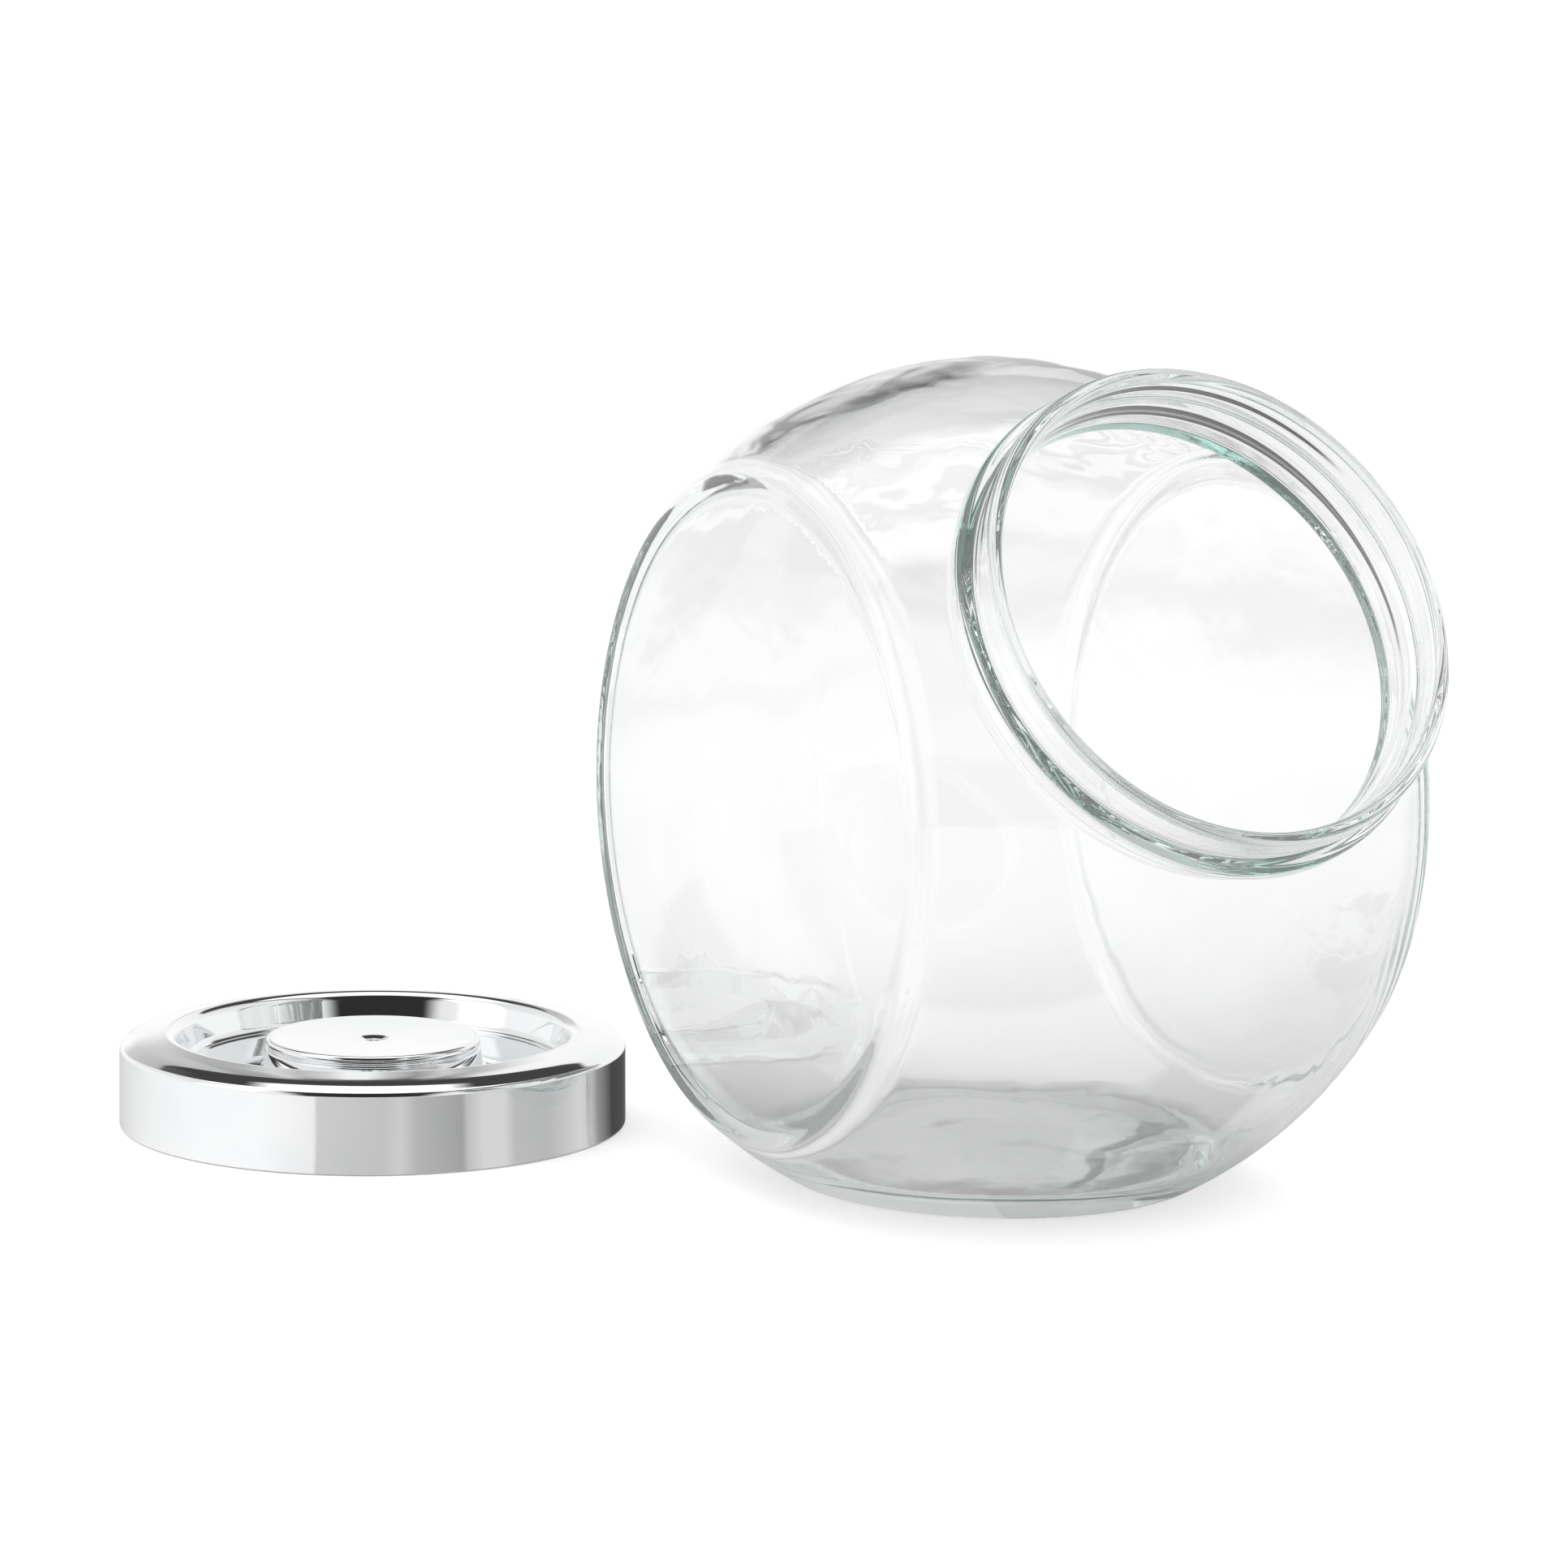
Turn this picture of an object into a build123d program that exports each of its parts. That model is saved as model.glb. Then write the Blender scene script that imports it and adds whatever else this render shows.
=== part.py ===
from build123d import *
from math import cos, hypot, radians, sin, sqrt
import os

# A ball-shaped glass jar with two flat sides and a tilted round mouth, and the chromed lid
# that fits the mouth, lying beside the jar on the same surface. All sizes are in millimetres.
# The origin is the centre of the jar's flat base, +X points to the side the mouth faces, +Y is
# square to the flat sides and +Z is up. The lid is modelled about its own axis with its skirt
# standing on Z = 0 and is then moved to its place.

# Jar body
BALL_RADIUS = 107.0  # outside of the round part
BALL_CENTRE = 94.7  # height of the ball's centre above the base
FLAT_SIDES = 141.3  # over the two flat sides
WALL = 3.6
BASE_THICKNESS = 8.0
RIDGE_ROUNDING = 5.0  # where a flat side meets the round part, outside
INNER_RIDGE_ROUNDING = 11.0
FOOT_ROUNDING = 9.0  # round the base, outside
INNER_FOOT_ROUNDING = 14.0

# Jar mouth. Distances along its axis are from the ball's centre.
MOUTH_TILT = 59.5  # from vertical, towards +X
LIP_DISTANCE = 112.0
LIP_RADIUS = 59.3
LIP_BORE_RADIUS = 55.7
LIP_HEIGHT = 5.2
LIP_ROUNDING = 1.7
BEAD_DISTANCE = 98.1
BEAD_RADIUS = 61.3
BEAD_WIDTH = 5.2
BEAD_ROUNDING = 2.3
NECK_RADIUS = 57.9
NECK_SLOPE = 1.2  # length of the short cones that lead from the neck to the bead and the lip
NECK_BORE_RADIUS = 54.7
NECK_BORE_FOOT = 93.0  # where the bore starts to widen towards the lip
BORE_BLEND = 20.0
SHOULDER_ROUNDING = 2.5

# Lid
LID_X = -121.1
LID_Y = -113.5
LID_RADIUS = 65.0
SKIRT_HEIGHT = 21.5
SKIRT_DRAFT = 0.15  # how much narrower the skirt is at its top
SKIRT_ROUNDING = 2.0
COVER_THICKNESS = 1.3
CROWN_RADIUS = 58.0  # the rim ring bends a little here, half-way up to the crest
CROWN_HEIGHT = 22.83
CROWN_ROUNDING = 150.0
CREST_RADIUS = 50.9  # where the rim ring turns down into the dish
CREST_HEIGHT = 23.8
CREST_ROUNDING = 3.0
DISH_FLOOR_RADIUS = 48.6
DISH_FLOOR = 15.0  # height at the foot of the wall
DISH_FOOT_ROUNDING = 2.6
DISH_LAND = 14.0  # height of the flat land that the knob stands on
DISH_LAND_RADIUS = 29.0

# Knob
KNOB_TOP = 21.8
KNOB_HOLLOW = 0.6  # how far the middle of the top lies below its edge
HOLLOW_RADIUS = 26.1
BEAD_EDGE_RADIUS = 27.6  # the knob's beaded upper edge
BEAD_EDGE_HEIGHT = 2.3
BEAD_EDGE_ROUNDING = 1.0
GROOVE_RADIUS = 26.45  # under the bead
GROOVE_HEIGHT = 0.4
GROOVE_ROUNDING = 0.1
KNOB_WALL_TOP_RADIUS = 27.7
KNOB_WALL_ROUNDING = 0.6
KNOB_FOOT_RADIUS = 28.3
KNOB_INNER_TOP_RADIUS = 25.2
KNOB_INNER_FOOT_RADIUS = 26.4
KNOB_CEILING = 18.7
KNOB_INNER_ROUNDING = 1.5
KNOB_BOSS_RADIUS = 7.0
DIMPLE_RADIUS = 4.0  # round mark in the middle of the top
DIMPLE_DEPTH = 0.8

# Screw, washer, liner and seal under the cover
SCREW_RADIUS = 2.5
SCREW_CLEARANCE = 0.2
SCREW_DEPTH = 5.4  # how far it goes into the knob
HEAD_RADIUS = 4.6
HEAD_HEIGHT = 2.6
HEAD_ROUNDING = 1.4
SCREW_CHAMFER = 0.5
CROSS_LENGTH = 5.0
CROSS_WIDTH = 1.0
CROSS_DEPTH = 1.3
WASHER_RADIUS = 6.5
WASHER_THICKNESS = 1.0
LINER_RADIUS = 51.0
LINER_BOTTOM = 5.0
LINER_THICKNESS = 2.0
LINER_BOSS_RADIUS = 9.0
LINER_WALL = 2.0
LINER_LEAD_IN = 0.8
SEAL_SEAT_RADIUS = 49.3
SEAL_SEAT_TOP = 10.9
LINER_TOP = 12.9
BAND_RADIUS = 51.6  # outside of the ring that carries the fins
FIN_RADIUS = 55.5
FIN_COUNT = 3
FIN_THICKNESS = 0.7
FIN_TIP_THICKNESS = 0.42
FIN_OVERLAP = 0.3  # how deep a fin's root sits in the ring
GAP = 0.05  # between pieces that touch round a curved face


def turned(corners):
    """A solid of revolution about Z. corners are (radius, height, rounding)."""
    points = [(radius, height) for radius, height, rounding in corners]
    roundings = [rounding for radius, height, rounding in corners]
    outline = FilletPolyline(*points, radius=roundings, close=True)
    return revolve(Plane.XZ * make_face(outline), Axis.Z)


def inset(corners, distance):
    """The corners of the line that runs a distance to the right of an open line of corners."""
    sides = []
    for (r0, h0, _), (r1, h1, _) in zip(corners, corners[1:]):
        length = hypot(r1 - r0, h1 - h0)
        sides.append(((h1 - h0) / length, (r0 - r1) / length))
    sides = [sides[0], *sides, sides[-1]]
    moved = []
    for (radius, height, rounding), (ax, ay), (bx, by) in zip(corners, sides, sides[1:]):
        reach = distance / (1 + ax * bx + ay * by)
        if rounding:
            turns_right = ax * by - ay * bx < 0
            rounding += -distance if turns_right else distance
        moved.append((radius + reach * (ax + bx), height + reach * (ay + by), rounding))
    return moved


def round_circle(body, centre, rounding):
    """Rounds the body's circular edge whose centre is nearest to the given one."""
    circles = body.edges().filter_by(GeomType.CIRCLE)
    nearest = circles.sort_by(lambda edge: (edge.arc_center - Vector(*centre)).length)[0]
    return fillet(nearest, rounding)


def ball_with_neck(radius, neck, flats, floor, ridge_rounding, foot_rounding):
    """A ball with a neck, turned about the mouth's axis and cut by the flat sides and the floor.

    neck holds the (radius, distance, rounding) corners from the ball to the far end."""
    neck_radius = neck[0][0]
    leaves_ball = (neck_radius, sqrt(radius**2 - neck_radius**2))
    end = (0, neck[-1][1])
    ball = ThreePointArc((0, -radius), (radius, 0), leaves_ball)
    corners = [(r, distance) for r, distance, rounding in neck]
    roundings = [rounding for r, distance, rounding in neck]
    sides = FilletPolyline(leaves_ball, *corners, end, radius=roundings)
    outline = make_face([ball, sides, Line(end, (0, -radius))])
    shoulder = outline.vertices().sort_by_distance(leaves_ball)[0]
    outline = fillet(shoulder, SHOULDER_ROUNDING)
    tilt = radians(MOUTH_TILT)
    across = (-cos(tilt), 0, sin(tilt))
    along = (sin(tilt), 0, cos(tilt))
    mouth = Plane(origin=(0, 0, BALL_CENTRE), x_dir=across, z_dir=along)
    body = mouth * revolve(Plane.XZ * outline, Axis.Z)
    clear = 3 * radius
    body = body & Pos(0, 0, floor + clear / 2) * Box(clear, flats, clear)
    for side in (-1, 1):
        body = round_circle(body, (0, side * flats / 2, BALL_CENTRE), ridge_rounding)
    return round_circle(body, (0, 0, floor), foot_rounding)


def glass_jar():
    """The one-piece glass jar: hollow body, thick base, neck, bead and lip."""
    bead_low = BEAD_DISTANCE - BEAD_WIDTH / 2
    bead_high = BEAD_DISTANCE + BEAD_WIDTH / 2
    lip_low = LIP_DISTANCE - LIP_HEIGHT
    neck = [
        (NECK_RADIUS, bead_low - NECK_SLOPE, 1.5),
        (BEAD_RADIUS, bead_low, BEAD_ROUNDING),
        (BEAD_RADIUS, bead_high, BEAD_ROUNDING),
        (NECK_RADIUS, bead_high + NECK_SLOPE, 1.5),
        (NECK_RADIUS, lip_low - NECK_SLOPE, 1.2),
        (LIP_RADIUS, lip_low, 1.2),
        (LIP_RADIUS, LIP_DISTANCE, LIP_ROUNDING),
    ]
    bore = [
        (NECK_BORE_RADIUS, NECK_BORE_FOOT, BORE_BLEND),
        (LIP_BORE_RADIUS, LIP_DISTANCE - LIP_ROUNDING, 2),
        (LIP_BORE_RADIUS + LIP_ROUNDING, LIP_DISTANCE, 0),
        (LIP_BORE_RADIUS + LIP_ROUNDING, LIP_DISTANCE + WALL, 0),
    ]
    outside = ball_with_neck(BALL_RADIUS, neck, FLAT_SIDES, 0, RIDGE_ROUNDING, FOOT_ROUNDING)
    inside = ball_with_neck(
        BALL_RADIUS - WALL,
        bore,
        FLAT_SIDES - 2 * WALL,
        BASE_THICKNESS,
        INNER_RIDGE_ROUNDING,
        INNER_FOOT_ROUNDING,
    )
    return outside - inside


def lid_cover():
    """The chromed shell: a plain skirt, a rim ring that rises to a crest, and a dish."""
    skin = [
        (LID_RADIUS, 0, 0),
        (LID_RADIUS - SKIRT_DRAFT, SKIRT_HEIGHT, SKIRT_ROUNDING),
        (CROWN_RADIUS, CROWN_HEIGHT, CROWN_ROUNDING),
        (CREST_RADIUS, CREST_HEIGHT, CREST_ROUNDING),
        (DISH_FLOOR_RADIUS, DISH_FLOOR, DISH_FOOT_ROUNDING),
        (DISH_LAND_RADIUS, DISH_LAND, 0),
        (SCREW_RADIUS + SCREW_CLEARANCE, DISH_LAND, 0),
    ]
    underside = inset(skin, -COVER_THICKNESS)
    return turned(skin + underside[::-1])


def cap_sphere(radius, depth, height):
    """The ball on the lid's axis that sinks a round hollow this wide and deep below a height."""
    ball = (radius**2 + depth**2) / (2 * depth)
    return Pos(0, 0, height - depth + ball) * Sphere(ball)


def lid_knob():
    """The button-shaped knob: a hollow casting with a beaded edge and a tapped boss inside."""
    bead_foot = KNOB_TOP - BEAD_EDGE_HEIGHT
    wall_top = bead_foot - GROOVE_HEIGHT
    knob = turned([
        (0, DISH_LAND + SCREW_DEPTH, 0),
        (SCREW_RADIUS, DISH_LAND + SCREW_DEPTH, 0),
        (SCREW_RADIUS, DISH_LAND, 0),
        (KNOB_BOSS_RADIUS, DISH_LAND, 0),
        (KNOB_BOSS_RADIUS, KNOB_CEILING, KNOB_INNER_ROUNDING),
        (KNOB_INNER_TOP_RADIUS, KNOB_CEILING, KNOB_INNER_ROUNDING),
        (KNOB_INNER_FOOT_RADIUS, DISH_LAND, 0),
        (KNOB_FOOT_RADIUS, DISH_LAND, 0),
        (KNOB_WALL_TOP_RADIUS, wall_top, KNOB_WALL_ROUNDING),
        (GROOVE_RADIUS, wall_top, GROOVE_ROUNDING),
        (GROOVE_RADIUS, bead_foot, GROOVE_ROUNDING),
        (BEAD_EDGE_RADIUS, bead_foot, BEAD_EDGE_ROUNDING),
        (BEAD_EDGE_RADIUS, KNOB_TOP, BEAD_EDGE_ROUNDING),
        (0, KNOB_TOP, 0),
    ])
    knob -= cap_sphere(HOLLOW_RADIUS, KNOB_HOLLOW, KNOB_TOP)
    return knob - cap_sphere(DIMPLE_RADIUS, DIMPLE_DEPTH, KNOB_TOP - KNOB_HOLLOW)


def lid_liner():
    """The moulded plate that closes the cover from below and carries the seal round its edge."""
    top = LINER_BOTTOM + LINER_THICKNESS
    under_cover = DISH_LAND - COVER_THICKNESS
    wall_inside = SEAL_SEAT_RADIUS - LINER_WALL
    return turned([
        (SCREW_RADIUS + SCREW_CLEARANCE, LINER_BOTTOM, 0),
        (LINER_RADIUS, LINER_BOTTOM, 0.6),
        (LINER_RADIUS, top, 0),
        (SEAL_SEAT_RADIUS, top, 0),
        (SEAL_SEAT_RADIUS, SEAL_SEAT_TOP, 0),
        (LINER_RADIUS, SEAL_SEAT_TOP, 0),
        (LINER_RADIUS - LINER_LEAD_IN, LINER_TOP, 0),
        (wall_inside, LINER_TOP, 0),
        (wall_inside, top, 1),
        (LINER_BOSS_RADIUS, top, 1),
        (LINER_BOSS_RADIUS, under_cover, 0),
        (SCREW_RADIUS + SCREW_CLEARANCE, under_cover, 0),
    ])


def seal_ring():
    """The soft ring in the liner's groove, with thin fins that press on the inside of the mouth."""
    low = LINER_BOTTOM + LINER_THICKNESS + GAP
    high = SEAL_SEAT_TOP - GAP
    pitch = (high - low - FIN_THICKNESS) / (FIN_COUNT - 1)
    ring = turned([
        (SEAL_SEAT_RADIUS + GAP, low, 0),
        (BAND_RADIUS, low, 0),
        (BAND_RADIUS, high, 0),
        (SEAL_SEAT_RADIUS + GAP, high, 0),
    ])
    for number in range(FIN_COUNT):
        height = low + number * pitch
        ring += turned([
            (BAND_RADIUS - FIN_OVERLAP, height, 0),
            (FIN_RADIUS, height, 0.2),
            (FIN_RADIUS, height + FIN_TIP_THICKNESS, 0.2),
            (BAND_RADIUS - FIN_OVERLAP, height + FIN_THICKNESS, 0),
        ])
    return ring


def screw_washer():
    """The flat washer that spreads the screw head's load over the liner."""
    low = LINER_BOTTOM - WASHER_THICKNESS
    return turned([
        (SCREW_RADIUS + SCREW_CLEARANCE, low, 0),
        (WASHER_RADIUS, low, 0.3),
        (WASHER_RADIUS, LINER_BOTTOM, 0),
        (SCREW_RADIUS + SCREW_CLEARANCE, LINER_BOTTOM, 0),
    ])


def knob_screw():
    """The pan-head screw that goes up through washer, liner and cover into the knob."""
    seat = LINER_BOTTOM - WASHER_THICKNESS
    head = seat - HEAD_HEIGHT
    shank = SCREW_RADIUS - GAP
    tip = DISH_LAND + SCREW_DEPTH - SCREW_CHAMFER
    screw = turned([
        (0, head, 0),
        (HEAD_RADIUS, head, HEAD_ROUNDING),
        (HEAD_RADIUS, seat, 0),
        (shank, seat, 0),
        (shank, tip - SCREW_CHAMFER, 0),
        (SCREW_RADIUS - SCREW_CHAMFER, tip, 0),
        (0, tip, 0),
    ])
    slot = Pos(0, 0, head) * Box(CROSS_LENGTH, CROSS_WIDTH, 2 * CROSS_DEPTH)
    return screw - slot - Rot(0, 0, 90) * slot


def main():
    os.makedirs("parts", exist_ok=True)
    export_step(glass_jar(), "parts/glass_jar.step")
    for piece in (lid_cover, lid_knob, lid_liner, seal_ring, screw_washer, knob_screw):
        placed = Pos(LID_X, LID_Y, 0) * piece()
        export_step(placed, f"parts/{piece.__name__}.step")


main()
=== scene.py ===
from math import acos, atan2, ceil, cos, pi, radians, sin, sqrt, tan

import bpy
import numpy as np
from mathutils import Matrix, Vector


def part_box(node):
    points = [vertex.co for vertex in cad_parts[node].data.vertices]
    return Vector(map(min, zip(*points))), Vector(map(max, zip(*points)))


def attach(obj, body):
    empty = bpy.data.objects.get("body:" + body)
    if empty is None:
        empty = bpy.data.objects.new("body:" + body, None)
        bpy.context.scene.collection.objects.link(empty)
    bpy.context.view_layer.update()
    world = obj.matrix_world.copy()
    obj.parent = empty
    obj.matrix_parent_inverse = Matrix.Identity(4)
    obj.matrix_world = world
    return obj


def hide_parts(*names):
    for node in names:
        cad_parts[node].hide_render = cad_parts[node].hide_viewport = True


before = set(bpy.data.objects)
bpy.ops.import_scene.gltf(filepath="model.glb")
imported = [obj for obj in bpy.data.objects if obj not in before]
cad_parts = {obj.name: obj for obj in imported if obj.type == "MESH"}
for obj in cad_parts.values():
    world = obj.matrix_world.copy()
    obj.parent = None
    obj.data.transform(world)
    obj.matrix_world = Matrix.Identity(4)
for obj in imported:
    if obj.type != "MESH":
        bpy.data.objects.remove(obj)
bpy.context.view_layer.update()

MM = 0.001

# ---------------------------------------------------------------------------------------------
# Camera. It looks at the jar from the mouth's side and slightly from above.
# ---------------------------------------------------------------------------------------------
CAMERA_AZIMUTH = 58.86  # round the jar's base, 0 looks along +Y
CAMERA_DISTANCE = 1.143  # over the floor, from the jar's base
CAMERA_HEIGHT = 0.265
CAMERA_HEADING = 61.5  # the way it looks, as an azimuth
CAMERA_PITCH = -8.405
CAMERA_ROLL = 0.699
LENS_MM = 108.51
SENSOR_MM = 36.0


def make_camera():
    """The camera at the viewing angle, level apart from a small roll."""
    data = bpy.data.cameras.new("camera")
    data.lens = LENS_MM
    data.sensor_width = SENSOR_MM
    data.clip_end = 50
    camera = bpy.data.objects.new("camera", data)
    bpy.context.scene.collection.objects.link(camera)
    stand = radians(CAMERA_AZIMUTH)
    place = Vector((sin(stand) * CAMERA_DISTANCE, -cos(stand) * CAMERA_DISTANCE, CAMERA_HEIGHT))
    turn = Matrix.Rotation(radians(CAMERA_HEADING), 4, "Z")
    turn = turn @ Matrix.Rotation(radians(90 + CAMERA_PITCH), 4, "X")
    turn = turn @ Matrix.Rotation(radians(CAMERA_ROLL), 4, "Z")
    camera.matrix_world = Matrix.Translation(place) @ turn
    bpy.context.scene.camera = camera


make_camera()


# ---------------------------------------------------------------------------------------------
# Node helpers
# ---------------------------------------------------------------------------------------------
class Graph:
    """Short ways to add nodes to a material's or the world's node tree."""

    def __init__(self, tree):
        self.tree = tree

    def node(self, kind, inputs=(), **settings):
        """A node of that kind. inputs are (socket, value or output socket) pairs."""
        made = self.tree.nodes.new(kind)
        for name, value in settings.items():
            setattr(made, name, value)
        for socket, value in inputs:
            self.feed(made.inputs[socket], value)
        return made

    def feed(self, socket, value):
        if isinstance(value, bpy.types.NodeSocket):
            self.tree.links.new(value, socket)
        else:
            socket.default_value = value

    def math(self, operation, a, b=0.0, third=0.0):
        """third is what MULTIPLY_ADD adds, or how far apart COMPARE's values may be."""
        made = self.node("ShaderNodeMath", [(0, a), (1, b), (2, third)], operation=operation)
        return made.outputs[0]

    def dot(self, a, b):
        made = self.node("ShaderNodeVectorMath", [(0, a), (1, b)], operation="DOT_PRODUCT")
        return made.outputs["Value"]

    def smooth(self, value, start, end, low=0.0, high=1.0):
        """Smooth step: low before start, high after end."""
        inputs = [("Value", value), ("From Min", start), ("From Max", end)]
        inputs += [("To Min", low), ("To Max", high)]
        made = self.node("ShaderNodeMapRange", inputs, interpolation_type="SMOOTHSTEP")
        return made.outputs["Result"]

    def blend(self, share, a, b):
        """a where share is 0, b where it is 1. a and b are numbers."""
        made = self.node("ShaderNodeMix", [("Factor", share), ("A", a), ("B", b)], data_type="FLOAT")
        return made.outputs["Result"]

    def noise(self, place, scale, detail=2.0, roughness=0.5, distortion=0.0):
        inputs = [("Vector", place), ("Scale", scale), ("Detail", detail)]
        inputs += [("Roughness", roughness), ("Distortion", distortion)]
        return self.node("ShaderNodeTexNoise", inputs).outputs["Fac"]

    def bump(self, height, distance, strength=1.0, normal=None):
        inputs = [("Height", height), ("Distance", distance), ("Strength", strength)]
        if normal is not None:
            inputs.append(("Normal", normal))
        return self.node("ShaderNodeBump", inputs).outputs["Normal"]

    def ramp(self, value, stops):
        """A colour ramp. stops are (position, (r, g, b)) pairs."""
        made = self.node("ShaderNodeValToRGB", [("Fac", value)])
        elements = made.color_ramp.elements
        while len(elements) < len(stops):
            elements.new(0.5)
        for element, (position, colour) in zip(elements, stops):
            element.position = position
            element.color = (*colour, 1)
        return made.outputs["Color"]


def new_material(name):
    """A material, its graph and its Principled shader."""
    material = bpy.data.materials.new(name)
    material.use_nodes = True
    tree = material.node_tree
    return material, Graph(tree), tree.nodes["Principled BSDF"]


# ---------------------------------------------------------------------------------------------
# Materials
# ---------------------------------------------------------------------------------------------
def clear_glass():
    """Clear soda-lime glass, faintly green where it is thick, with soft ripples and wipe marks.

    Rays that have gone round inside the lip too many times meet a painted glow of faint grey light in
    the glass, so they come out grey, not cut off black."""
    trapped_bounces = 16
    painted_glow = 0.22
    material, graph, shader = new_material("clear_glass")
    place = graph.node("ShaderNodeTexCoord").outputs["Object"]
    ripples = graph.noise(place, 55, 1.5, 0.4, 0.6)
    marks = graph.noise(place, 210, 3.0, 0.6)
    shader.inputs["Transmission Weight"].default_value = 1
    shader.inputs["IOR"].default_value = 1.51
    shader.inputs["Base Color"].default_value = (1, 1, 1, 1)
    graph.feed(shader.inputs["Roughness"], graph.smooth(marks, 0.55, 0.8, 0.0, 0.03))
    graph.feed(shader.inputs["Normal"], graph.bump(ripples, 0.00012))
    # Painted light: the glass itself glows faintly grey on rays that have bounced trapped_bounces
    # times.
    depth = graph.node("ShaderNodeLightPath").outputs["Ray Depth"]
    trapped = graph.math("COMPARE", depth, trapped_bounces, 0.5)
    shader.inputs["Emission Color"].default_value = (1, 1, 1, 1)
    graph.feed(shader.inputs["Emission Strength"], graph.math("MULTIPLY", trapped, painted_glow))
    material.cycles.emission_sampling = "NONE"
    tint = graph.node("ShaderNodeVolumeAbsorption")
    tint.inputs["Color"].default_value = (0.45, 0.85, 0.75, 1)
    tint.inputs["Density"].default_value = 2.0
    output = graph.tree.nodes["Material Output"]
    graph.feed(output.inputs["Volume"], tint.outputs["Volume"])
    return material


def mirror_chrome():
    """Bright chrome plate: a mirror with faint waves, wipe marks and hairline scratches."""
    material, graph, shader = new_material("mirror_chrome")
    place = graph.node("ShaderNodeTexCoord").outputs["Object"]
    cloud = graph.noise(place, 40, 2.0)
    marks = graph.noise(place, 320, 4.0, 0.65)
    stretch = graph.node("ShaderNodeMapping", [("Vector", place), ("Scale", (900, 60, 300))])
    scratches = graph.noise(stretch.outputs["Vector"], 1.0, 2.0)
    shader.inputs["Metallic"].default_value = 1
    tone = graph.ramp(cloud, [(0.3, (0.84, 0.85, 0.86)), (0.7, (0.9, 0.9, 0.905))])
    graph.feed(shader.inputs["Base Color"], tone)
    haze = graph.smooth(marks, 0.45, 0.85, 0.02, 0.09)
    graph.feed(shader.inputs["Roughness"], haze)
    waves = graph.bump(cloud, 0.00006)
    graph.feed(shader.inputs["Normal"], graph.bump(scratches, 0.000002, 1.0, waves))
    return material


def moulded_plastic():
    """White moulded plastic with a fine matt skin and slightly yellowed patches."""
    material, graph, shader = new_material("moulded_plastic")
    place = graph.node("ShaderNodeTexCoord").outputs["Object"]
    grain = graph.noise(place, 2600, 2.0, 0.7)
    patches = graph.noise(place, 45, 2.0)
    tone = graph.ramp(patches, [(0.35, (0.80, 0.80, 0.77)), (0.7, (0.87, 0.87, 0.85))])
    graph.feed(shader.inputs["Base Color"], tone)
    graph.feed(shader.inputs["Roughness"], graph.smooth(grain, 0.3, 0.7, 0.42, 0.6))
    graph.feed(shader.inputs["Normal"], graph.bump(grain, 0.00004))
    return material


def soft_seal():
    """Milky silicone with a satin skin and fine dust."""
    material, graph, shader = new_material("soft_seal")
    place = graph.node("ShaderNodeTexCoord").outputs["Object"]
    dust = graph.noise(place, 1500, 4.0, 0.7)
    cloud = graph.noise(place, 60, 1.0)
    tone = graph.ramp(cloud, [(0.3, (0.74, 0.76, 0.75)), (0.7, (0.82, 0.83, 0.82))])
    graph.feed(shader.inputs["Base Color"], tone)
    graph.feed(shader.inputs["Roughness"], graph.smooth(dust, 0.4, 0.7, 0.45, 0.7))
    graph.feed(shader.inputs["Normal"], graph.bump(dust, 0.00003))
    shader.inputs["Subsurface Weight"].default_value = 0.15
    shader.inputs["Subsurface Radius"].default_value = (0.002, 0.002, 0.002)
    return material


def plated_steel():
    """Zinc-plated steel with turned rings and small dull spots."""
    material, graph, shader = new_material("plated_steel")
    place = graph.node("ShaderNodeTexCoord").outputs["Object"]
    spots = graph.noise(place, 900, 4.0, 0.65)
    tone = graph.ramp(spots, [(0.35, (0.52, 0.53, 0.54)), (0.65, (0.70, 0.71, 0.72))])
    shader.inputs["Metallic"].default_value = 1
    graph.feed(shader.inputs["Base Color"], tone)
    graph.feed(shader.inputs["Roughness"], graph.smooth(spots, 0.3, 0.7, 0.25, 0.45))
    graph.feed(shader.inputs["Normal"], graph.bump(spots, 0.00002))
    return material


GLASS = clear_glass()
CHROME = mirror_chrome()


# ---------------------------------------------------------------------------------------------
# Turned shapes. A profile is a list of (radius, height, rounding) corners in millimetres, and it
# is walked with the material on its left side.
# ---------------------------------------------------------------------------------------------
ARC_STEP = radians(9)


def rounded(corners, loop=False):
    """Points and outward normals along a line of corners, with its roundings as arcs."""
    count = len(corners)
    points = []
    normals = []
    for index, (radius, height, rounding) in enumerate(corners):
        here = np.array((radius, height))
        if not loop and index in (0, count - 1):
            inner = corners[1] if index == 0 else corners[-2]
            along = np.array(inner[:2]) - here if index == 0 else here - np.array(inner[:2])
            along = along / np.linalg.norm(along)
            points.append(here)
            normals.append((along[1], -along[0]))
            continue
        before = np.array(corners[index - 1][:2])
        after = np.array(corners[(index + 1) % count][:2])
        into = (here - before) / np.linalg.norm(here - before)
        out = (after - here) / np.linalg.norm(after - here)
        turn = atan2(into[0] * out[1] - into[1] * out[0], into @ out)
        side = 1 if turn > 0 else -1
        reach = rounding * tan(abs(turn) / 2)
        start = here - into * reach
        centre = start + side * rounding * np.array((-into[1], into[0]))
        steps = max(2, ceil(abs(turn) / ARC_STEP))
        for step in range(steps + 1):
            angle = turn * step / steps
            normal = np.array((into[1], -into[0]))
            normal = np.array((
                normal[0] * cos(angle) - normal[1] * sin(angle),
                normal[0] * sin(angle) + normal[1] * cos(angle),
            ))
            points.append(centre + side * rounding * normal)
            normals.append(normal)
    return np.array(points), np.array(normals)


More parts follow.
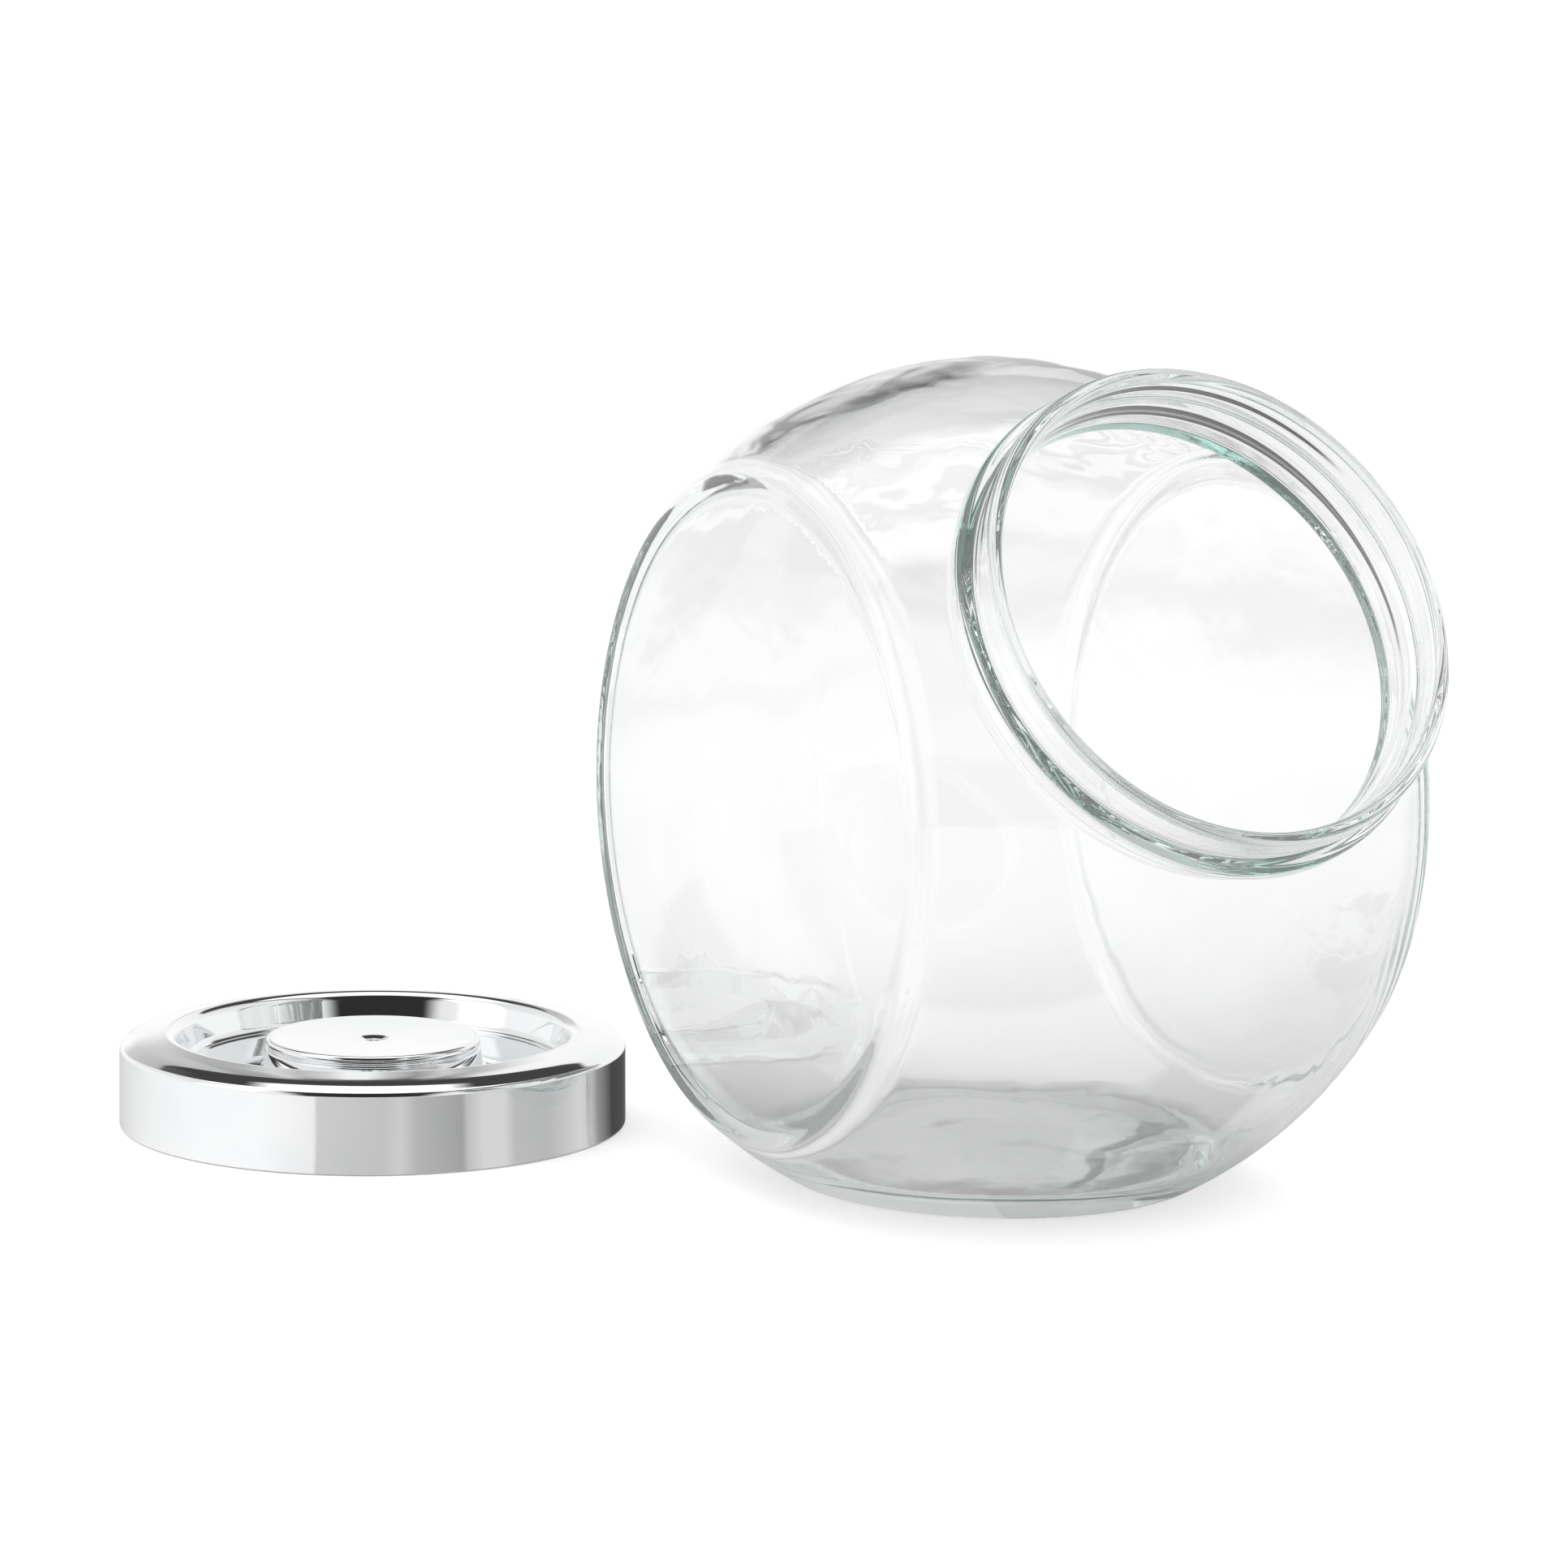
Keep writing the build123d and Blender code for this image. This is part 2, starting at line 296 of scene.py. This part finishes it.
def ring_mesh(name, points, normals, loop, material):
    """A closed mesh of rings. points[i, j] is point j of ring i, in metres.

    loop joins the last ring to the first. Otherwise the first and last ring are single points."""
    rings, columns = points.shape[:2]
    if loop:
        vertices = points.reshape(-1, 3)
        vertex_normals = normals.reshape(-1, 3)
        number = np.arange(rings * columns).reshape(rings, columns)
        number = np.vstack([number, number[:1]])
    else:
        vertices = np.vstack([points[0, :1], points[1:-1].reshape(-1, 3), points[-1, :1]])
        vertex_normals = np.vstack([normals[0, :1], normals[1:-1].reshape(-1, 3), normals[-1, :1]])
        inner = 1 + np.arange((rings - 2) * columns).reshape(rings - 2, columns)
        last = np.full((1, columns), len(vertices) - 1)
        number = np.vstack([np.zeros((1, columns), int), inner, last])
    following = np.roll(number, -1, axis=1)
    quads = np.stack([number[:-1], following[:-1], following[1:], number[1:]], axis=-1).reshape(-1, 4)
    faces = [tuple(dict.fromkeys(quad)) for quad in quads.tolist()]
    mesh = bpy.data.meshes.new(name)
    mesh.from_pydata(vertices.tolist(), [], faces)
    mesh.update()
    middle = mesh.polygons[len(mesh.polygons) // 2]
    if Vector(vertex_normals[middle.vertices[0]]).dot(middle.normal) < 0:
        mesh.flip_normals()
    mesh.polygons.foreach_set("use_smooth", [True] * len(mesh.polygons))
    mesh.normals_split_custom_set_from_vertices(vertex_normals.tolist())
    mesh.materials.append(material)
    made = bpy.data.objects.new(name, mesh)
    bpy.context.scene.collection.objects.link(made)
    return made


TURNS = 256  # columns of a turned piece


def turned(name, corners, centre, loop, material):
    """A piece turned about the vertical axis through centre. corners are in millimetres."""
    profile, profile_normals = rounded(corners, loop)
    angles = np.arange(TURNS) * 2 * pi / TURNS
    across = np.stack([np.cos(angles), np.sin(angles), np.zeros(TURNS)], axis=-1)
    up = np.array((0, 0, 1))
    points = profile[:, None, :1] * across + profile[:, None, 1:] * up
    normals = profile_normals[:, None, :1] * across + profile_normals[:, None, 1:] * up
    return ring_mesh(name, points * MM + np.array(centre), normals, loop, material)


# ---------------------------------------------------------------------------------------------
# Lid: the chromed cover and the knob, at the CAD pieces' place and size.
# ---------------------------------------------------------------------------------------------
cover_low, cover_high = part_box("lid_cover")
LAND = 14.0  # height of the dish's flat middle, which the knob stands on, in millimetres
lid_centre = ((cover_low.x + cover_high.x) / 2, (cover_low.y + cover_high.y) / 2, 0)


def make_cover():
    """The plated shell: rolled lower edge, skirt, rim ring rising to its crest, and dish."""
    radius = (cover_high.x - cover_low.x) / 2 / MM
    thick = 1.3
    ring_radius = 61.3  # where the rim ring starts to turn down to the skirt
    ring_height = 22.2
    crown_radius = 58.0  # a slight bend half-way up to the crest
    crest_radius = 50.9
    crest_height = 23.8
    floor_radius = 48.6
    foot = 15.0
    land_radius = 29.0
    hole = 2.7
    corners = [
        (hole, LAND, 0.2),
        (hole, LAND - thick, 0.2),
        (land_radius, LAND - thick, 3),
        (floor_radius + 1.1, foot - thick, 3.6),
        (crest_radius + 1.1, crest_height - 1.5, 1.7),
        (crown_radius, 21.5, 50),
        (ring_radius - 0.4, ring_height - thick, 9.0),
        (radius - 1.45, 19.3, 0.7),
        (radius - thick, 0, 0.3),
        (radius, 0, 0.5),
        (radius - 0.15, 20.35, 1.6),
        (ring_radius, ring_height, 9.0),
        (crown_radius, 22.83, 50),
        (crest_radius, crest_height, 3.0),
        (floor_radius, foot, 2.6),
        (land_radius, LAND, 3),
    ]
    return turned("cover_plated", corners, lid_centre, True, CHROME)


def make_knob():
    """The button-shaped knob: beaded edge, hollow top with a small round mark, hollow underneath."""
    top = 21.8
    bead = 27.6
    bead_foot = top - 2.3
    groove = 26.45
    wall_top = bead_foot - 0.4
    ceiling = 18.7
    boss = 7.0
    screw_radius = 2.5
    screw_top = LAND + 5.4
    corners = [
        (0, screw_top, 0),
        (screw_radius, screw_top, 0.2),
        (screw_radius, LAND, 0.2),
        (boss, LAND, 0.4),
        (boss, ceiling, 1.5),
        (25.2, ceiling, 1.5),
        (26.4, LAND, 0.2),
        (28.3, LAND, 0.2),
        (27.7, wall_top, 0.6),
        (groove, wall_top, 0.1),
        (groove, bead_foot, 0.1),
        (bead, bead_foot, 1.0),
        (bead, top, 1.0),
        (26.0, top, 0.4),
        (17, top - 0.34, 150),
        (8, top - 0.54, 150),
        (4.0, top - 0.6, 0.5),
        (2.4, top - 1.2, 1.2),
        (0, top - 1.4, 0),
    ]
    return turned("knob_plated", corners, lid_centre, False, CHROME)


# ---------------------------------------------------------------------------------------------
# Glass jar: a ball with two flat sides, a flat base and a tilted neck. Each half-plane through
# the mouth's axis holds one line of points, from the back of the ball, over the outside and the
# lip, down the bore and round the inside.
# ---------------------------------------------------------------------------------------------
jar_low, jar_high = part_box("glass_jar")
WALL = 3.6
BALL_RADIUS = 107.0
BALL_CENTRE = 94.7
HALF_WIDTH = (jar_high.y - jar_low.y) / 2 / MM
BASE_THICKNESS = 8.0
MOUTH_TILT = radians(59.5)
MOUTH_AXIS = np.array((sin(MOUTH_TILT), 0, cos(MOUTH_TILT)))
MOUTH_UP = np.array((-cos(MOUTH_TILT), 0, sin(MOUTH_TILT)))
MOUTH_SIDE = np.cross(MOUTH_AXIS, MOUTH_UP)
NECK_RADIUS = 57.9
BORE_RADIUS = 54.7
SHOULDER_ROUNDING = 2.5
RIDGE_BEAD = 0.15  # the ridges of the flat sides stand a little proud
RIDGE_BEAD_WIDTH = 2.5
COLUMNS = 336
BODY_ROWS = 112


def cut_radius(away, towards, ball, plane, rounding):
    """Distance from the centre to a ball cut by a plane, with a rounded edge between them.

    The direction has the part towards along the plane's normal and the part away across it."""
    edge = sqrt((ball - rounding) ** 2 - (plane - rounding) ** 2)
    towards = np.maximum(towards, 1e-9)
    on_plane = plane / towards
    middle = away * edge + towards * (plane - rounding)
    on_edge = middle + np.sqrt(np.maximum(middle**2 - (ball - rounding) ** 2 + rounding**2, 0))
    slope = away / towards
    result = np.where(slope > edge / (plane - rounding), ball, on_edge)
    return np.where(slope < edge / plane, on_plane, result)


def make_waves():
    """Long low waves for the inside of the glass, as (direction, phase, height) of sine waves."""
    draws = np.random.default_rng(4)
    waves = []
    for length in (24, 29, 34, 41, 47, 55, 64, 76, 90):
        for _ in range(2):
            direction = draws.normal(size=3)
            direction *= 2 * pi / length / np.linalg.norm(direction)
            waves.append((direction, draws.uniform(0, 2 * pi), 0.0007 * length))
    return waves


WAVES = make_waves()


def body_radius(directions, inside):
    """Distance from the ball's centre to the outer or the inner face along unit directions."""
    gap = WALL if inside else 0
    ridge = 11.0 if inside else 5.0
    foot = 14.0 if inside else 9.0
    floor = BASE_THICKNESS if inside else 0
    ball = BALL_RADIUS - gap
    y = np.abs(directions[..., 1])
    down = -directions[..., 2]
    across_y = np.sqrt(np.maximum(1 - y**2, 0))
    across_z = np.sqrt(np.maximum(1 - down**2, 0))
    sides = cut_radius(across_y, y, ball, HALF_WIDTH - gap, ridge)
    base = cut_radius(across_z, down, ball, BALL_CENTRE - floor, foot)
    radius = np.minimum(sides, np.where(down > 0, base, ball))
    from_ridge = (np.arccos(np.minimum(y, 1)) - acos((HALF_WIDTH - gap) / ball)) * ball
    if not inside:
        radius = radius + RIDGE_BEAD * np.exp(-((from_ridge / RIDGE_BEAD_WIDTH) ** 2))
    if inside:
        for direction, phase, height in WAVES:
            radius = radius + height * np.sin(directions * ball @ direction + phase)
    return radius


def body_normals(directions, inside):
    """Outward normals of the body's face, from the slope of its radius."""
    step = 2e-4
    helper = np.where(np.abs(directions[..., :1]) < 0.7, (1.0, 0.0, 0.0), (0.0, 0.0, 1.0))
    first = np.cross(directions, helper)
    first /= np.linalg.norm(first, axis=-1, keepdims=True)
    second = np.cross(directions, first)
    radius = body_radius(directions, inside)
    normals = directions.copy()
    for tangent in (first, second):
        ahead = directions + tangent * step
        behind = directions - tangent * step
        ahead /= np.linalg.norm(ahead, axis=-1, keepdims=True)
        behind /= np.linalg.norm(behind, axis=-1, keepdims=True)
        slope = (body_radius(ahead, inside) - body_radius(behind, inside)) / (2 * step)
        normals = normals - tangent * (slope / radius)[..., None]
    return normals / np.linalg.norm(normals, axis=-1, keepdims=True)


def spread(values, weights, count):
    """count values, spaced so that the weight between neighbours is the same."""
    total = np.concatenate([[0], np.cumsum((weights[1:] + weights[:-1]) / 2 * np.diff(values))])
    return np.interp(np.linspace(0, total[-1], count), total, values)


def column_angles():
    """Angles of the lines of points round the mouth's axis, closest along the flat sides' ridges."""
    fine = np.linspace(0, 2 * pi, 7201)
    weights = np.ones_like(fine)
    for ridge in (41, 139, 221, 319):
        weights += 3.2 * np.exp(-(((np.degrees(fine) - ridge) / 3) ** 2))
    return spread(fine, weights, COLUMNS + 1)[:-1]


def body_rows(angle, shoulder, inside):
    """Angles from the mouth's axis of one line's points, from the back, closest at the roundings."""
    fine = np.linspace(pi - 0.004, shoulder, 1500)
    around = cos(angle) * MOUTH_UP + sin(angle) * MOUTH_SIDE
    directions = np.cos(fine)[:, None] * MOUTH_AXIS + np.sin(fine)[:, None] * around
    places = directions * body_radius(directions, inside)[:, None]
    pieces = np.diff(places, axis=0)
    lengths = np.linalg.norm(pieces, axis=1)
    ways = pieces / lengths[:, None]
    bends = np.linalg.norm(np.diff(ways, axis=0), axis=1) / lengths[1:]
    bends = np.concatenate([[bends[0]], bends, [bends[-1]]])
    bends = np.convolve(np.pad(bends, 20, mode="edge"), np.ones(41) / 41, mode="valid")
    arc = np.concatenate([[0], np.cumsum(lengths)])
    chosen = spread(arc, 1 + 25 * np.minimum(bends, 0.25), BODY_ROWS)
    return np.interp(chosen, arc, fine)


def shoulder_angle(neck, ball):
    """The angle from the mouth's axis at which the shoulder's rounding leaves the ball."""
    reach = ball + SHOULDER_ROUNDING
    return atan2(neck + SHOULDER_ROUNDING, sqrt(reach**2 - (neck + SHOULDER_ROUNDING) ** 2))


def jar_neck():
    """The line from the outer shoulder over neck, bead and lip into the bore, with its normals."""
    bead = 61.3
    lip = 59.3
    top = 112.0
    outer_foot = sqrt(BALL_RADIUS**2 - NECK_RADIUS**2)
    inner_foot = sqrt((BALL_RADIUS - WALL) ** 2 - BORE_RADIUS**2)
    points, normals = rounded([
        (NECK_RADIUS, outer_foot + 2.5, 0),
        (NECK_RADIUS, 94.3, 1.5),
        (bead, 95.5, 2.3),
        (bead, 100.7, 2.3),
        (NECK_RADIUS, 101.9, 1.5),
        (NECK_RADIUS, 105.6, 1.2),
        (lip, 106.8, 1.2),
        (lip, top, 1.6),
        (BORE_RADIUS + 1, top, 1.6),
        (BORE_RADIUS, 93.0, 20),
        (BORE_RADIUS, inner_foot + 2.2, 0),
    ])
    outer = shoulder_arc(NECK_RADIUS, BALL_RADIUS)
    inner = shoulder_arc(BORE_RADIUS, BALL_RADIUS - WALL)
    points = np.vstack([outer[0], points[1:-1], inner[0][::-1]])
    normals = np.vstack([outer[1], normals[1:-1], -inner[1][::-1]])
    return points, normals


def shoulder_arc(neck, ball):
    """The rounding between ball and neck, without its first point, which is on the ball."""
    centre = np.array((neck + SHOULDER_ROUNDING, 0.0))
    centre[1] = sqrt((ball + SHOULDER_ROUNDING) ** 2 - centre[0] ** 2)
    start = atan2(centre[1], centre[0])
    angles = np.linspace(start, 0, 9)[1:]
    normals = np.stack([np.cos(angles), np.sin(angles)], axis=-1)
    return centre - SHOULDER_ROUNDING * normals, normals


def make_jar():
    """The one-piece glass jar, as one closed mesh."""
    angles = column_angles()
    around = np.cos(angles)[:, None] * MOUTH_UP + np.sin(angles)[:, None] * MOUTH_SIDE
    profile, profile_normals = jar_neck()
    neck_points = profile[:, None, :1] * around + profile[:, None, 1:] * MOUTH_AXIS
    neck_normals = profile_normals[:, None, :1] * around + profile_normals[:, None, 1:] * MOUTH_AXIS
    faces = []
    for inside, neck in ((False, NECK_RADIUS), (True, BORE_RADIUS)):
        shoulder = shoulder_angle(neck, BALL_RADIUS - (WALL if inside else 0))
        rows = np.stack([body_rows(angle, shoulder, inside) for angle in angles], axis=1)
        directions = np.cos(rows)[..., None] * MOUTH_AXIS + np.sin(rows)[..., None] * around
        back = np.broadcast_to(-MOUTH_AXIS, (1, COLUMNS, 3))
        directions = np.concatenate([back, directions])
        points = directions * body_radius(directions, inside)[..., None]
        faces.append((points, body_normals(directions, inside)))
    (outer, outer_normals), (inner, inner_normals) = faces
    points = np.concatenate([outer, neck_points, inner[::-1]])
    normals = np.concatenate([outer_normals, neck_normals, -inner_normals[::-1]])
    points = (points + np.array((0, 0, BALL_CENTRE))) * MM
    return ring_mesh("jar_blown", points, normals, False, GLASS)


jar = make_jar()
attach(jar, "jar")
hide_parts("glass_jar")

cover = make_cover()
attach(cover, "lid")
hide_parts("lid_cover")

knob = make_knob()
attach(knob, "lid")
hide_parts("lid_knob")


def assign(node, material):
    """Gives a CAD node a finished material."""
    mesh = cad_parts[node].data
    mesh.materials.clear()
    mesh.materials.append(material)


steel = plated_steel()
assign("lid_liner", moulded_plastic())
assign("seal_ring", soft_seal())
assign("screw_washer", steel)
assign("knob_screw", steel)


# ---------------------------------------------------------------------------------------------
# Studio: a white floor, a white backdrop with a greyer screen above it, a dark room, and softboxes
# overhead and at both sides.
# ---------------------------------------------------------------------------------------------
def stage_mesh(name, vertices, faces, shade, rough):
    """A floor or card of plain paper."""
    mesh = bpy.data.meshes.new(name)
    mesh.from_pydata(vertices, [], faces)
    mesh.update()
    made = bpy.data.objects.new(name, mesh)
    bpy.context.scene.collection.objects.link(made)
    material, _, shader = new_material(name)
    shader.inputs["Base Color"].default_value = (shade, shade, shade, 1)
    shader.inputs["Roughness"].default_value = rough
    shader.inputs["Specular IOR Level"].default_value = 0
    mesh.materials.append(material)
    return made


def make_floor():
    """Pale paper. The camera alone sees its glow, and all other rays see it greyer, with faint clouds
    of painted shade.
    """
    size = 9.0
    shade = 0.92
    glow = 0.35
    corners = [(-size, -size, 0), (size, -size, 0), (size, size, 0), (-size, size, 0)]
    floor = stage_mesh("floor", corners, [(0, 1, 2, 3)], shade, 0.8)
    floor.location.z = -0.0002
    tree = floor.data.materials[0].node_tree
    graph = Graph(tree)
    seen = graph.node("ShaderNodeLightPath").outputs["Is Camera Ray"]
    place = graph.node("ShaderNodeTexCoord").outputs["Object"]
    # Painted shade: for all rays but the camera's the floor is greyer in soft clouds, so glass and
    # mirrors show grey shading.
    shade_clouds = graph.smooth(graph.noise(place, 1.4, 1.0), 0.35, 0.65, 0.74, 0.9)
    shader = tree.nodes["Principled BSDF"]
    graph.feed(shader.inputs["Base Color"], graph.blend(seen, shade_clouds, shade))
    shader.inputs["Emission Color"].default_value = (1, 1, 1, 1)
    graph.feed(shader.inputs["Emission Strength"], graph.math("MULTIPLY", seen, glow))


make_floor()

# What the skirt mirrors, painted as glowing cards in front of it and behind its right side, as (side
# angle, glow shade).
# Side angles are round the lid, in degrees from the side that faces the camera, right positive.
FRONT_CARD = [
    (-88, 0.56), (-68, 0.80), (-58, 0.90), (-42, 0.97), (-26, 0.97), (-15, 0.86), (-13.2, 0.84),
    (-12.6, 0.60), (2, 0.54), (6, 0.60), (9.5, 0.46), (19.8, 0.36), (21, 0.52), (25, 0.66), (30, 0.66),
    (33, 0.5), (42, 0.48), (48, 0.56), (53, 0.64), (56, 0.6),
]
BACK_CARD = [(58, 0.5), (61, 0.28), (69, 0.06), (80, 0.08), (88, 0.2)]
CARD_LENGTH = 0.13


def reflector_card(name, stops):
    """A glowing card lying by the lid that only mirrors see, a painted reflection for the skirt. The
    shade it glows with changes along the lid's side.
    """
    angles = np.arange(stops[0][0], stops[-1][0] + 0.1, 0.5)
    shades = np.interp(angles, *zip(*stops))
    camera = bpy.context.scene.camera.matrix_world.translation
    towards = Vector((camera.x - lid_centre[0], camera.y - lid_centre[1], 0)).normalized()
    right = Vector((-towards.y, towards.x, 0))
    radius = (cover_high.x - cover_low.x) / 2
    vertices = []
    for angle in angles:
        side = towards * cos(radians(angle)) + right * sin(radians(angle))
        mirrored = towards * cos(radians(2 * angle)) + right * sin(radians(2 * angle))
        near = Vector(lid_centre) + side * radius
        vertices += [near, near + mirrored * CARD_LENGTH]
    faces = [(i, i + 1, i + 3, i + 2) for i in range(0, len(vertices) - 2, 2)]
    card = stage_mesh(name, vertices, faces, 0.5, 1)
    shade = card.data.color_attributes.new("shade", "FLOAT_COLOR", "POINT")
    colours = np.repeat(shades, 2)[:, None] * np.ones(4)
    shade.data.foreach_set("color", colours.ravel())
    tree = card.data.materials[0].node_tree
    graph = Graph(tree)
    painted = graph.node("ShaderNodeVertexColor", layer_name="shade")
    shader = tree.nodes["Principled BSDF"]
    # Painted reflection: the card glows with its shade, whatever light falls on it.
    shader.inputs["Base Color"].default_value = (0, 0, 0, 1)
    shader.inputs["Emission Strength"].default_value = 1.13
    graph.feed(shader.inputs["Emission Color"], painted.outputs["Color"])
    for ray in ("camera", "diffuse", "transmission", "volume_scatter", "shadow"):
        setattr(card, "visible_" + ray, False)


reflector_card("front_card", FRONT_CARD)
reflector_card("back_card", BACK_CARD)


# The greyer screen above the backdrop, as (share of the way from left to right, (r, g, b)).
SCREEN = [
    (share, (shade, shade, shade))
    for share, shade in (
        (0.04, 0.52), (0.09, 0.35), (0.18, 0.41), (0.24, 0.72), (0.31, 0.49), (0.38, 0.7), (0.43, 1.0),
        (0.475, 1.0), (0.525, 0.59), (0.596, 0.21), (0.662, 0.58), (0.722, 0.31), (0.774, 0.52),
        (0.816, 0.78), (0.866, 1.0),
    )
]
SCREEN_SCALE = 4.0  # shares for each unit to the right
SCREEN_AHEAD = 0.8  # the share that is straight ahead

# Softboxes, as (aim to the right, ahead and up; half width; half height; brightness). Both halves
# are tangents of angles.
SOFTBOXES = [
    ((-0.1, 0.1, 1.0), 0.6, 0.42, 1.4),
    ((-1.0, -0.45, 0.42), 0.3, 0.5, 1.2),
    ((1.0, -0.15, 0.5), 0.22, 0.45, 1.0),
]
SOFT_EDGE = 0.05
CAMERA_WHITE = 1.05
EVEN_LIGHT = 1.15
AHEAD = Vector((-sin(radians(CAMERA_HEADING)), cos(radians(CAMERA_HEADING)), 0))
RIGHT = Vector((cos(radians(CAMERA_HEADING)), sin(radians(CAMERA_HEADING)), 0))
UP = Vector((0, 0, 1))


def backdrop_share(graph, height, forward, sideways, through):
    """How much of the backdrop shows: it fades upwards in mirrors and ends low down through glass."""
    low = graph.smooth(height, 0.24, 0.29, 1, 0)
    left = graph.smooth(sideways, -0.11, -0.02, 1, 0)
    shaded = graph.math("MULTIPLY", left, graph.smooth(height, 0.16, 0.3))
    unshaded = graph.math("SUBTRACT", 1.0, graph.math("MULTIPLY", shaded, 0.6))
    fading = graph.math("MULTIPLY", graph.smooth(height, 0.12, 0.6, 1, 0), unshaded)
    share = graph.blend(through, fading, low)
    dark_side = graph.smooth(forward, -0.85, -0.6, 1, 0)
    return graph.blend(dark_side, share, 0)


def room_light(graph, height, forward, sideways, through):
    """The dark room with bright sides and the greyer screen; through glass it is a plain grey."""
    screen = graph.ramp(graph.math("MULTIPLY_ADD", sideways, SCREEN_SCALE, third=SCREEN_AHEAD), SCREEN)
    screen = graph.blend(graph.smooth(height, 0.51, 0.56, 1, 0), 0, screen)
    screen = graph.math("MULTIPLY", screen, graph.smooth(forward, 0.5, 0.7))
    ahead_share = graph.smooth(forward, -0.6, 0.6)
    room = graph.blend(ahead_share, 0.03, 0.06)
    room = graph.blend(graph.smooth(graph.math("ABSOLUTE", sideways), 0.4, 0.6), room, 0.9)
    room = graph.math("MAXIMUM", room, screen)
    return graph.blend(through, room, graph.blend(ahead_share, 0.34, 0.14))


def softbox_share(graph, way, aim, half_width, half_height):
    """1 in a rectangle round the direction aim, 0 outside it, with soft edges."""
    level = aim.cross(AHEAD if aim.z > 0.9 else UP).normalized()
    rise = level.cross(aim)
    facing = graph.math("MAXIMUM", graph.dot(way, tuple(aim)), 0.001)
    share = 1.0
    for axis, half in ((level, half_width), (rise, half_height)):
        offset = graph.math("ABSOLUTE", graph.math("DIVIDE", graph.dot(way, tuple(axis)), facing))
        edge = graph.smooth(offset, half - SOFT_EDGE, half + SOFT_EDGE, 1, 0)
        share = graph.math("MULTIPLY", share, edge)
    return share


def make_world():
    """White to the camera; even light for the floor; backdrop, dark room and softboxes for gloss."""
    world = bpy.data.worlds.new("studio")
    bpy.context.scene.world = world
    world.use_nodes = True
    world.cycles.sampling_method = "NONE"
    graph = Graph(world.node_tree)
    way = graph.node("ShaderNodeTexCoord").outputs["Generated"]
    height = graph.node("ShaderNodeSeparateXYZ", [(0, way)]).outputs["Z"]
    forward = graph.dot(way, tuple(AHEAD))
    sideways = graph.dot(way, tuple(RIGHT))
    path = graph.node("ShaderNodeLightPath")
    through = path.outputs["Is Transmission Ray"]

    shade_clouds = graph.smooth(graph.noise(way, 9.0, 1.0), 0.35, 0.65, 0.84, 1.0)
    backdrop = graph.blend(through, CAMERA_WHITE, shade_clouds)
    share = backdrop_share(graph, height, forward, sideways, through)
    light = graph.blend(share, room_light(graph, height, forward, sideways, through), backdrop)
    for (side, front, up), half_width, half_height, power in SOFTBOXES:
        aim = (RIGHT * side + AHEAD * front + UP * up).normalized()
        light = graph.blend(softbox_share(graph, way, aim, half_width, half_height), light, power)
    light = graph.blend(graph.smooth(height, -0.01, 0.0), 1.0, light)

    lit = graph.math("GREATER_THAN", path.outputs["Diffuse Depth"], 0.5)
    light = graph.blend(lit, light, EVEN_LIGHT)
    light = graph.blend(path.outputs["Is Camera Ray"], light, CAMERA_WHITE)
    background = world.node_tree.nodes["Background"]
    background.inputs["Color"].default_value = (1, 1, 1, 1)
    graph.feed(background.inputs["Strength"], light)


make_world()
bpy.context.scene.view_settings.view_transform = "Standard"
cycles = bpy.context.scene.cycles
cycles.max_bounces = 40  # light runs a long way round inside thick glass
cycles.glossy_bounces = 32
cycles.transmission_bounces = 40
